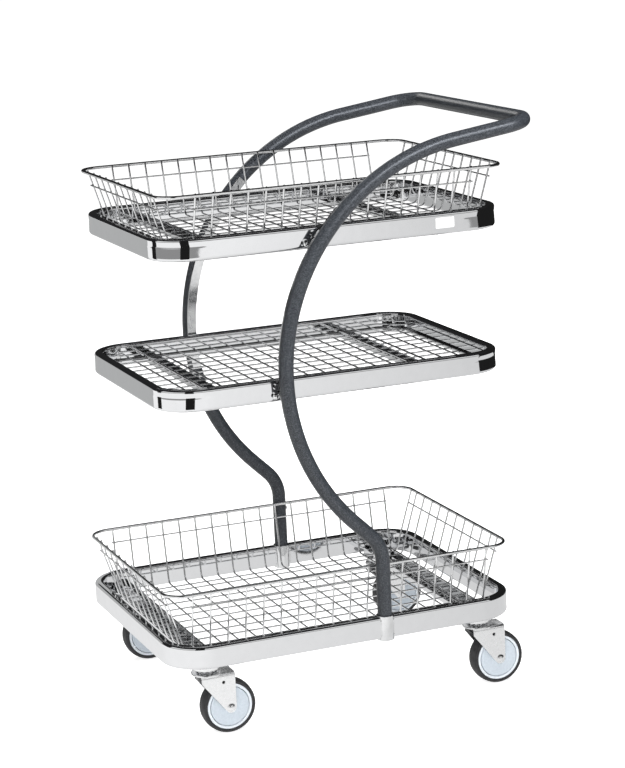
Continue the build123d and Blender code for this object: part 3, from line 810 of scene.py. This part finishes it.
def cheek_edge(x):
    """Height of a fork cheek's lower edge at x from the swivel axis: a straight slope down to
    the eye, then round the eye."""
    tangent_x = TRAIL - FORK_EYE * 0.83
    tangent_z = AXLE_Z - FORK_EYE * 0.558
    slope_top_x = TRAIL - 49 * MM
    slope_top_z = 97 * MM
    if x <= tangent_x:
        slope = (slope_top_z - tangent_z) / (slope_top_x - tangent_x)
        return tangent_z + (x - tangent_x) * slope
    return AXLE_Z - math.sqrt(max(FORK_EYE * FORK_EYE - (x - TRAIL) ** 2, 0))


def channel_row(outer, bottom, top, shoulder, inset):
    """Half of the fork's cross-section as (sideways, up) points, from the cheek's lower edge
    up and over the shoulder, then the same mirrored."""
    cheek_steps = 8
    shoulder_steps = 6
    half = []
    for i in range(cheek_steps + 1):
        half.append((outer - inset, bottom + (top - shoulder - bottom) * i / cheek_steps))
    for i in range(1, shoulder_steps + 1):
        angle = math.radians(90 * i / shoulder_steps)
        half.append((outer - shoulder + (shoulder - inset) * math.cos(angle),
                     top - shoulder + (shoulder - inset) * math.sin(angle)))
    return half + [(-y, z) for y, z in reversed(half)]


def fork(name, centre, body):
    """A pressed fork: an upside-down channel with rounded shoulders, cut to two tapering
    cheeks with a small hole through both, that carries a dished crown under the swivel
    race."""
    crown_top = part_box(name + "_fork")[1].z
    top = crown_top - 2.7 * MM
    outer = FORK_INNER + FORK_SHEET
    shoulder = 7 * MM
    back = -16 * MM
    front = TRAIL + FORK_EYE
    lowest = AXLE_Z - FORK_EYE
    steps = 30
    columns = [back + (front - back) * i / steps for i in range(steps + 1)]
    skins = []
    for inset in (0, FORK_SHEET):
        rows = []
        for x in columns:
            bottom = max(cheek_edge(x), lowest) if x < front else AXLE_Z
            bottom = min(bottom, top - shoulder - 2 * MM)
            rows.append([Vector((centre.x + x, centre.y + y, z))
                         for y, z in channel_row(outer, bottom, top, shoulder, inset)])
        skins.append(rows)
    shape = Shape()
    shape.grid([outer_row + inner_row[::-1] for outer_row, inner_row in zip(*skins)])
    count = len(skins[0][0])
    for index in (0, len(columns) - 1):
        base = index * 2 * count
        for j in range(count - 1):
            quad = (base + j, base + j + 1, base + 2 * count - 2 - j, base + 2 * count - 1 - j)
            shape.faces.append(quad if index == 0 else quad[::-1])
    bolt_hole = 7 * MM
    crown = [(bolt_hole, top - 1.5 * MM), (26 * MM, top - 1.5 * MM), (27.8 * MM, top - 0.6 * MM),
             (28 * MM, top + 0.6 * MM), (27.2 * MM, top + 2.2 * MM), (25 * MM, crown_top),
             (bolt_hole, crown_top)]
    shape.lathe(crown, Matrix.Translation((centre.x, centre.y, 0)), steps=48)
    piece = shape.piece(name + "_pressed_fork", ZINC)
    hole_x = centre.x + TRAIL - 12 * MM
    hole_z = 99 * MM
    drill = Shape()
    drill.wire([Vector((hole_x, centre.y + side * 2 * outer, hole_z)) for side in (-1, 1)],
               radius=3 * MM, sides=24, rounded=False)
    bore(piece, drill.piece(name + "_drill", ZINC))
    soften(piece)
    belong(piece, body, "zinc_plate", name + "_fork")


def bore(piece, drill):
    """Cuts the drill's solid out of the piece and throws the drill away."""
    cut = piece.modifiers.new("hole", "BOOLEAN")
    cut.operation = "DIFFERENCE"
    cut.solver = "EXACT"
    cut.use_self = True
    cut.object = drill
    ready = piece.evaluated_get(bpy.context.evaluated_depsgraph_get())
    piece.data = bpy.data.meshes.new_from_object(ready)
    piece.modifiers.clear()
    bpy.data.objects.remove(drill)


def soften(piece):
    """Rounds the sharp edges of a piece of sheet metal."""
    bevel = piece.modifiers.new("soft_edges", "BEVEL")
    bevel.width = 0.4 * MM
    bevel.segments = 3
    bevel.limit_method = "ANGLE"
    bevel.angle_limit = math.radians(35)
    bevel.harden_normals = False


def caster(name):
    """Tyre, ring, discs and fork; the rest of a caster is shown by its CAD nodes."""
    wheel = name + "_wheel"
    groove_depth = 5 * MM
    disc_gap = 0.9 * MM
    hub = 7 * MM
    tyre_low, tyre_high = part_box(name + "_tyre")
    axle = (tyre_low + tyre_high) / 2
    outer = (tyre_high.z - tyre_low.z) / 2
    half = (tyre_high.y - tyre_low.y) / 2
    core_low, core_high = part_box(name + "_wheel_centre")
    rim = (core_high.z - core_low.z) / 2
    groove = rim - groove_depth
    inner_half = half - 1 * MM
    turned_about_axle(name + "_tyre_tread", tyre_profile(outer, rim, half), axle, RUBBER, wheel,
                      "tyre_rubber", 96, name + "_tyre")
    turned_about_axle(name + "_wheel_ring", wheel_ring_profile(rim, groove, inner_half), axle,
                      RING_PLASTIC, wheel, "wheel_grey_plastic", 96, name + "_wheel_centre")
    turned_about_axle(name + "_wheel_discs", wheel_disc_profile(groove - disc_gap, hub, inner_half),
                      axle, DISC_PLASTIC, wheel, "wheel_grey_plastic", 72)
    fork(name, Vector((axle.x - TRAIL, axle.y, 0)), name + "_swivel")


# ---- Label -----------------------------------------------------------------------------
def blank_label():
    """A small plain label on the near face of the top shelf's frame."""
    share_along = 0.81
    width = 36 * MM
    height = 19 * MM
    thickness = 0.25 * MM
    sunk = 0.3 * MM
    edge = 0.15 * MM
    low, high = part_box("top_shelf_frame")
    centre_x = low.x + share_along * (high.x - low.x)
    centre_z = (low.z + high.z) / 2 + 1 * MM
    outline = [(x, z) for x, z, *_ in ring_section(width / 2, height / 2, corner=2 * MM,
                                                   corner_steps=5, run_steps=2, margin=1 * MM)]
    rows = []
    for y, inset in ((low.y + sunk, 0), (low.y - thickness * 0.6, 0), (low.y - thickness, edge)):
        scale_x = 1 - 2 * inset / width
        scale_z = 1 - 2 * inset / height
        rows.append([Vector((centre_x + x * scale_x, y, centre_z + z * scale_z))
                     for x, z in outline])
    shape = Shape()
    shape.grid(rows, caps=True)
    belong(shape.piece("blank_label", LABEL_PAPER, smooth=False), "cart", "bush_plastic")


# ---- CAD nodes that are shown as they are ----------------------------------------------
def dress(node, material):
    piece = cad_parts[node]
    piece.data.materials.clear()
    piece.data.materials.append(material)


def dress_cad_nodes():
    for node in ("top_shelf_cross_bars", "middle_shelf_cross_bars", "base_cross_bars"):
        dress(node, TUBE_CHROME)
    for node in ("leg_straps", "strap_lugs", "strap_lug_rivets", "leg_side_screws",
                 "deck_dome_bolts", "caster_king_bolts"):
        dress(node, FITTING_CHROME)
    for name in CORNERS:
        dress(name + "_caster_plate", ZINC)
        dress(name + "_swivel_balls", BALL_STEEL)
        dress(name + "_axle_bolt_and_nut", ZINC)
        dress(name + "_axle_bush", BUSH_PLASTIC)


# ---- Build the cart --------------------------------------------------------------------
for shelf in ("top_shelf", "middle_shelf"):
    rail_frame(shelf + "_rail", shelf + "_frame", corner=72 * MM, sink=crease, depth=1.9 * MM,
               reach=24 * MM)
rail_frame("base_rail", "base_frame", corner=76 * MM, sink=dent, depth=0.7 * MM, reach=0)
leg_and_handle()
leg_sockets()
edge_wire("deck_edge_ring", "middle_shelf_deck_edge_wire", corner=51.2 * MM)
crossing_welds("deck_welds", "middle_shelf_deck_long_wires", "middle_shelf_deck_cross_wires")
straight_wires("deck_long_rods", "middle_shelf_deck_long_wires", axis=0)
straight_wires("deck_cross_rods", "middle_shelf_deck_cross_wires", axis=1)
basket("top_basket", floor_half_x=289 * MM, floor_half_y=205 * MM)
basket("lower_basket", floor_half_x=291 * MM, floor_half_y=212 * MM)
for corner_name in CORNERS:
    caster(corner_name)
blank_label()
dress_cad_nodes()


# ---- Studio ----------------------------------------------------------------------------
FLOOR_RADIUS = 30.0
WHITE = (1.0, 1.0, 1.0)


def emissive(name, colour, strength):
    material = bpy.data.materials.new(name)
    material.use_nodes = True
    tree = material.node_tree
    tree.nodes.clear()
    glow = tree.nodes.new("ShaderNodeEmission")
    glow.inputs["Color"].default_value = (*colour, 1.0)
    glow.inputs["Strength"].default_value = strength
    output = tree.nodes.new("ShaderNodeOutputMaterial")
    tree.links.new(glow.outputs["Emission"], output.inputs["Surface"])
    return material


def studio_disc(name, z, material):
    """A floor far wider than the view."""
    count = 64
    ring = [Vector((FLOOR_RADIUS * math.cos(2 * math.pi * i / count),
                    FLOOR_RADIUS * math.sin(2 * math.pi * i / count), z)) for i in range(count)]
    piece = mesh_piece(name, ring, [tuple(range(count))], material, smooth=False)
    return piece


def wall(name, start, stop, distance, low, high, material):
    """An upright curved panel between two compass directions from the cart; 0 is +X, 90 is
    +Y. Only reflections see it."""
    panel_degrees = 6
    steps = max(2, round(abs(stop - start) / panel_degrees))
    verts = []
    for i in range(steps + 1):
        angle = math.radians(start + (stop - start) * i / steps)
        for z in (low, high):
            verts.append(Vector((distance * math.cos(angle), distance * math.sin(angle), z)))
    faces = [(2 * i, 2 * i + 2, 2 * i + 3, 2 * i + 1) for i in range(steps)]
    piece = mesh_piece(name, verts, faces, material, smooth=False)
    piece.visible_camera = False
    piece.visible_diffuse = False
    piece.visible_shadow = False


def lamp(name, position, target, size, power, colour=(1.0, 1.0, 1.0), in_reflections=False):
    """A soft rectangular lamp that faces its target."""
    data = bpy.data.lights.new(name, "AREA")
    data.shape = "RECTANGLE"
    data.size, data.size_y = size
    data.energy = power
    data.color = colour
    light = bpy.data.objects.new(name, data)
    light.location = position
    light.rotation_mode = "QUATERNION"
    light.rotation_quaternion = (Vector(target) - Vector(position)).to_track_quat("-Z", "Y")
    light.visible_glossy = in_reflections
    light.visible_camera = False
    bpy.context.scene.collection.objects.link(light)
    return light


def fade_node(tree, source, start, stop, low, high):
    """A value that goes from low to high as the source goes from start to stop."""
    node = tree.nodes.new("ShaderNodeMapRange")
    node.inputs["From Min"].default_value = start
    node.inputs["From Max"].default_value = stop
    node.inputs["To Min"].default_value = low
    node.inputs["To Max"].default_value = high
    tree.links.new(source, node.inputs["Value"])
    return node.outputs["Result"]


def glowing_floor(name, middle, tilt):
    """A floor that glows a little more to the left of the cart than to its right."""
    material = emissive(name, WHITE, 1.0)
    tree = material.node_tree
    place = tree.nodes.new("ShaderNodeTexCoord")
    across = tree.nodes.new("ShaderNodeVectorMath")
    across.operation = "DOT_PRODUCT"
    across.inputs[1].default_value = (1.0, 0.45, 0.0)
    tree.links.new(place.outputs["Object"], across.inputs[0])
    glow = fade_node(tree, across.outputs["Value"], start=-0.8, stop=0.2,
                     low=middle + tilt / 2, high=middle - tilt / 2)
    tree.links.new(glow, tree.nodes["Emission"].inputs["Strength"])
    return material


def seen_floor():
    """The floor that the camera sees: matt and pale, with a painted glow that rises from a little
    below white near the cart to white in the distance.
    """
    white = bpy.data.materials.new("studio_floor")
    white.use_nodes = True
    surface = white.node_tree.nodes["Principled BSDF"]
    surface.inputs["Base Color"].default_value = (0.80, 0.80, 0.80, 1.0)
    surface.inputs["Roughness"].default_value = 0.9
    surface.inputs["Specular IOR Level"].default_value = 0.0
    surface.inputs["Emission Color"].default_value = (*WHITE, 1.0)
    tree = white.node_tree
    place = tree.nodes.new("ShaderNodeTexCoord")
    distance = tree.nodes.new("ShaderNodeVectorMath")
    distance.operation = "LENGTH"
    tree.links.new(place.outputs["Object"], distance.inputs[0])
    glow = fade_node(tree, distance.outputs["Value"], start=0.6, stop=3.0, low=0.80, high=1.05)
    tree.links.new(glow, surface.inputs["Emission Strength"])
    floor = studio_disc("studio_floor", -0.5 * MM, white)
    floor.visible_glossy = False


def mirrored_floor():
    """The floor that only the chrome sees."""
    floor = studio_disc("mirrored_floor", -1 * MM,
                        glowing_floor("mirrored_floor", middle=0.93, tilt=0.28))
    floor.visible_camera = False
    floor.visible_diffuse = False
    floor.visible_shadow = False


def backdrop():
    """The white dome behind everything, for the camera alone."""
    sky = bpy.data.meshes.new("studio_backdrop")
    dome = bmesh.new()
    bmesh.ops.create_uvsphere(dome, u_segments=48, v_segments=24, radius=FLOOR_RADIUS - 1.0)
    bmesh.ops.reverse_faces(dome, faces=dome.faces[:])
    dome.to_mesh(sky)
    dome.free()
    sky.materials.append(emissive("studio_backdrop", WHITE, 1.05))
    piece = bpy.data.objects.new("studio_backdrop", sky)
    bpy.context.scene.collection.objects.link(piece)
    piece.visible_diffuse = False
    piece.visible_glossy = False
    piece.visible_shadow = False
    piece.visible_transmission = False


def reflected_walls():
    """Panels round the cart for the chrome to mirror: pale in front, dark to the right."""
    grey = emissive("grey_wall", (0.99, 1.0, 1.0), 0.5)
    dark = emissive("dark_wall", WHITE, 0.015)
    mid = emissive("mid_wall", WHITE, 0.32)
    pale = emissive("pale_wall", WHITE, 0.95)
    wall("back_left_wall", 86, 136, 1.8, 0.0, 0.8, grey)
    wall("right_dark_wall", -44, 72, 2.2, 0.0, 2.2, dark)
    wall("left_post", -204, -190, 2.2, 0.0, 2.2, dark)
    wall("near_left_post", -128, -106, 2.2, 0.0, 2.2, dark)
    wall("front_wall_foot", -205, -40, 6.5, 0.0, 1.9, mid)
    wall("front_wall", -205, -40, 6.5, 1.9, 4.4, pale)


def lamps():
    """Two broad lamps for the whole cart, and two softboxes for the painted tube alone."""
    lamp("overhead", (0.0, -0.2, 4.0), (0, 0, 0), (5.0, 5.0), power=260)
    lamp("front_fill", (-1.5, -5.0, 2.4), (0, 0, 0.3), (3.0, 2.0), power=190)
    sheens = (lamp("front_softbox", (0.9, -2.6, 2.6), (0, 0, 0.8), (2.0, 1.0), power=105,
                   colour=(0.86, 0.91, 1.0), in_reflections=True),
              lamp("back_softbox", (-0.3, 3.4, 2.6), (0, 0, 0.9), (1.6, 0.8), power=16,
                   colour=(1.0, 0.99, 0.97), in_reflections=True))
    painted = bpy.data.collections.new("painted_pieces")
    painted.objects.link(bpy.data.objects["bent_tube_legs_and_handle"])
    for sheen in sheens:
        sheen.light_linking.receiver_collection = painted


def dim_world():
    """A nearly black surround, so that only the panels and floors are mirrored."""
    world = bpy.data.worlds.new("studio_world")
    bpy.context.scene.world = world
    world.use_nodes = True
    background = world.node_tree.nodes["Background"]
    background.inputs["Color"].default_value = (0.02, 0.02, 0.021, 1)
    background.inputs["Strength"].default_value = 1.0


def camera():
    """A long lens from the front left and above."""
    place = Vector((-1.58425, -4.0551, 1.5338))
    yaw = 0.3759429
    pitch = 0.2205747
    roll = -0.0459551
    data = bpy.data.cameras.new("camera")
    data.lens = 112.37
    data.sensor_width = 36.0
    data.clip_start = 0.05
    data.clip_end = 100.0
    viewpoint = bpy.data.objects.new("camera", data)
    bpy.context.scene.collection.objects.link(viewpoint)
    forward = Vector((math.sin(yaw) * math.cos(pitch), math.cos(yaw) * math.cos(pitch),
                      -math.sin(pitch)))
    level_right = Vector((math.cos(yaw), -math.sin(yaw), 0))
    level_up = level_right.cross(forward)
    right = level_right * math.cos(roll) + level_up * math.sin(roll)
    up = level_up * math.cos(roll) - level_right * math.sin(roll)
    basis = Matrix((right, up, -forward)).transposed()
    viewpoint.matrix_world = Matrix.Translation(place) @ basis.to_4x4()
    bpy.context.scene.camera = viewpoint


seen_floor()
mirrored_floor()
backdrop()
reflected_walls()
lamps()
dim_world()
camera()
bpy.context.scene.view_settings.view_transform = "Standard"
